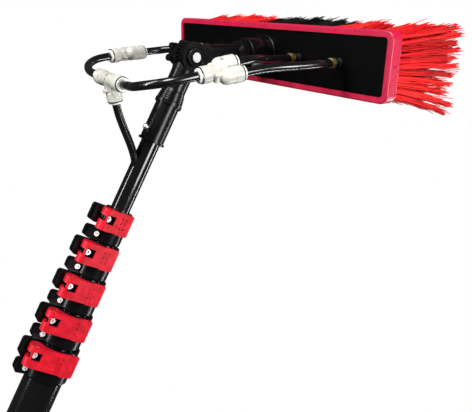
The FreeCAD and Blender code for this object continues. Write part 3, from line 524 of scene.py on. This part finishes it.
def bristle_material(name, dark, middle, light, roughness):
    """Strands whose shade runs from dark to light with the mesh's shade attribute."""
    made = Material(name, middle, roughness, Specular_IOR_Level=0.15)
    shade = made.node("Attribute", attribute_name="shade").outputs["Fac"]
    ramp = made.node("ValToRGB", {"Fac": shade})
    stops = ramp.color_ramp.elements
    stops[0].color = (*dark, 1)
    stops[1].color = (*light, 1)
    halfway = stops.new(0.5)
    halfway.color = (*middle, 1)
    return made.color(ramp.outputs["Color"])


red_strands = bristle_material("red_bristle", (0.50, 0.004, 0.006), (0.90, 0.018, 0.020),
                               (1.0, 0.07, 0.05), 0.42)
black_strands = bristle_material("black_bristle", (0.002, 0.002, 0.002), (0.005, 0.005, 0.006),
                                 (0.02, 0.02, 0.022), 0.40)


def tufts(x0, x1):
    """The middles of staggered tufts between x0 and x1."""
    columns = int((x1 - x0) / TUFT_PITCH_X)
    for i in range(columns + 1):
        for j in range(TUFT_ROWS):
            y = (j - (TUFT_ROWS - 1) / 2) * TUFT_PITCH_Y
            yield x0 + (x1 - x0) * (i + (0.5 if j % 2 else 0)) / (columns + 0.5), y


red_mesh = bristle_mesh("red_bristle_tufts", [*tufts(66, 168), *tufts(-168, -66)], seed=7, spread=1.8,
                        thickness=0.80, limit=194, flare=25)
red = link("red_bristle_tufts", red_mesh, red_strands, "head")
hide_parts("red_bristles")
black_mesh = bristle_mesh("black_bristle_tufts", list(tufts(-61, 61)), seed=11, spread=1.9,
                          thickness=0.62, limit=70, flare=0)
black = link("black_bristle_tufts", black_mesh, black_strands, "head")
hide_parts("black_bristles")


# ---------------------------------------------------------------- port clips

CLIP_GAP = 0.0001


def clip_ring(name, port, body):
    """A black clip behind a collet's flange: a flat ring with an opening."""
    mesh = bpy.data.meshes.new(name)
    shape = bmesh.new()
    inner, outer, width = 0.00575, 0.00735, 0.00105
    opening, steps = 40, 40
    for k in range(steps):
        for radius in (inner, outer):
            for along in (0, width):
                angle = math.radians(opening / 2 + (360 - opening) * k / (steps - 1))
                shape.verts.new((radius * math.cos(angle), radius * math.sin(angle), along))
    shape.verts.ensure_lookup_table()
    for k in range(steps - 1):
        a = [shape.verts[4 * k + i] for i in range(4)]
        b = [shape.verts[4 * k + 4 + i] for i in range(4)]
        for i, j in ((0, 1), (1, 3), (3, 2), (2, 0)):
            shape.faces.new((a[i], a[j], b[j], b[i]))
    for k in (0, steps - 1):
        a = [shape.verts[4 * k + i] for i in range(4)]
        shape.faces.new((a[0], a[1], a[3], a[2]))
    bmesh.ops.recalc_face_normals(shape, faces=shape.faces)
    shape.to_mesh(mesh)
    shape.free()
    made = link(name, mesh, clip, None)
    made.matrix_world = Matrix.Translation(port.place + port.direction * CLIP_GAP) @ \
        port.direction.to_track_quat("Z", "Y").to_matrix().to_4x4()
    bevel = made.modifiers.new("edges", "BEVEL")
    bevel.width = 0.0002
    bevel.segments = 2
    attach(made, body)


for i, port in enumerate(tee_ports):
    clip_ring(f"tee_clip_{i + 1}", port, "section_1")
for word in DIVIDERS:
    for i, port in enumerate(divider_ports(word)):
        clip_ring(f"y_clip_{word}_{i + 1}", port, "head")


def sink_mark_painted_dark(name, frame_of, place, normal, body):
    """A small sink mark with a raised lip, where the plastic was injected; it is made black, as painted shade in
    its hollow.
    """
    mesh = bpy.data.meshes.new(name)
    shape = bmesh.new()
    steps = 24
    rings = ((0.0016, -0.0002), (0.0015, 0.00025), (0.0011, 0.00030), (0.0009, 0.00005), (0.0003, 0.0))
    angles = [2 * math.pi * k / steps for k in range(steps)]
    loops = [[shape.verts.new((radius * math.cos(angle), radius * math.sin(angle), height))
              for angle in angles] for radius, height in rings]
    for low_loop, high_loop in zip(loops, loops[1:]):
        for k in range(steps):
            j = (k + 1) % steps
            shape.faces.new((low_loop[k], low_loop[j], high_loop[j], high_loop[k]))
    shape.faces.new(loops[-1])
    shape.to_mesh(mesh)
    shape.free()
    # painted shade: the mark takes the black clip material, so its hollow reads dark on the white fitting
    made = link(name, mesh, clip, None)
    upright = frame_of.to_3x3() @ Vector(normal)
    made.matrix_world = Matrix.Translation(frame_of @ (Vector(place) * MM)) @ \
        upright.to_track_quat("Z", "Y").to_matrix().to_4x4()
    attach(made, body)


for word, matrix in DIVIDERS.items():
    sink_mark_painted_dark(f"divider_shaded_mark_{word}", matrix, (-OUTLET_OFFSET, -7.15, 4.5), (0, -1, 0), "head")
sink_mark_painted_dark("tee_shaded_mark", TEE, (0, 10.5, -6.75), (0, 0, -1), "section_1")


# ---------------------------------------------------------------- light

def studio():
    """A white studio: white to the camera, and dimmer round the object, so that its blacks stay deep."""
    world = bpy.data.worlds.new("studio")
    bpy.context.scene.world = world
    world.use_nodes = True
    tree = world.node_tree
    seen = tree.nodes.new("ShaderNodeLightPath")
    tint = tree.nodes.new("ShaderNodeMixRGB")
    tint.inputs["Color1"].default_value = (0.05, 0.05, 0.052, 1)
    tint.inputs["Color2"].default_value = (1, 1, 1, 1)
    tree.links.new(seen.outputs["Is Camera Ray"], tint.inputs["Fac"])
    tree.links.new(tint.outputs["Color"], tree.nodes["Background"].inputs["Color"])


studio()


def softbox(name, place, aim, size, power):
    """A rectangular lamp at a place, turned towards aim."""
    light = bpy.data.lights.new(name, "AREA")
    light.shape = "RECTANGLE"
    light.size, light.size_y = size
    light.energy = power
    made = bpy.data.objects.new(name, light)
    bpy.context.scene.collection.objects.link(made)
    made.location = place
    made.rotation_euler = (Vector(aim) - Vector(place)).to_track_quat("-Z", "Y").to_euler()
    return made


softbox("key", (0.75, -1.75, 2.75), (0, 0, 1.5), (0.9, 0.9), 60)
softbox("right_fill", (1.9, 0.35, 1.9), (0, 0, 1.5), (0.6, 1.0), 40)
softbox("left_strip", (-0.33, -1.45, 1.55), (0, 0, 1.45), (0.14, 1.7), 24)
softbox("rim_strip", (0.42, 1.40, 1.5), (0, 0, 1.45), (0.10, 1.7), 18)
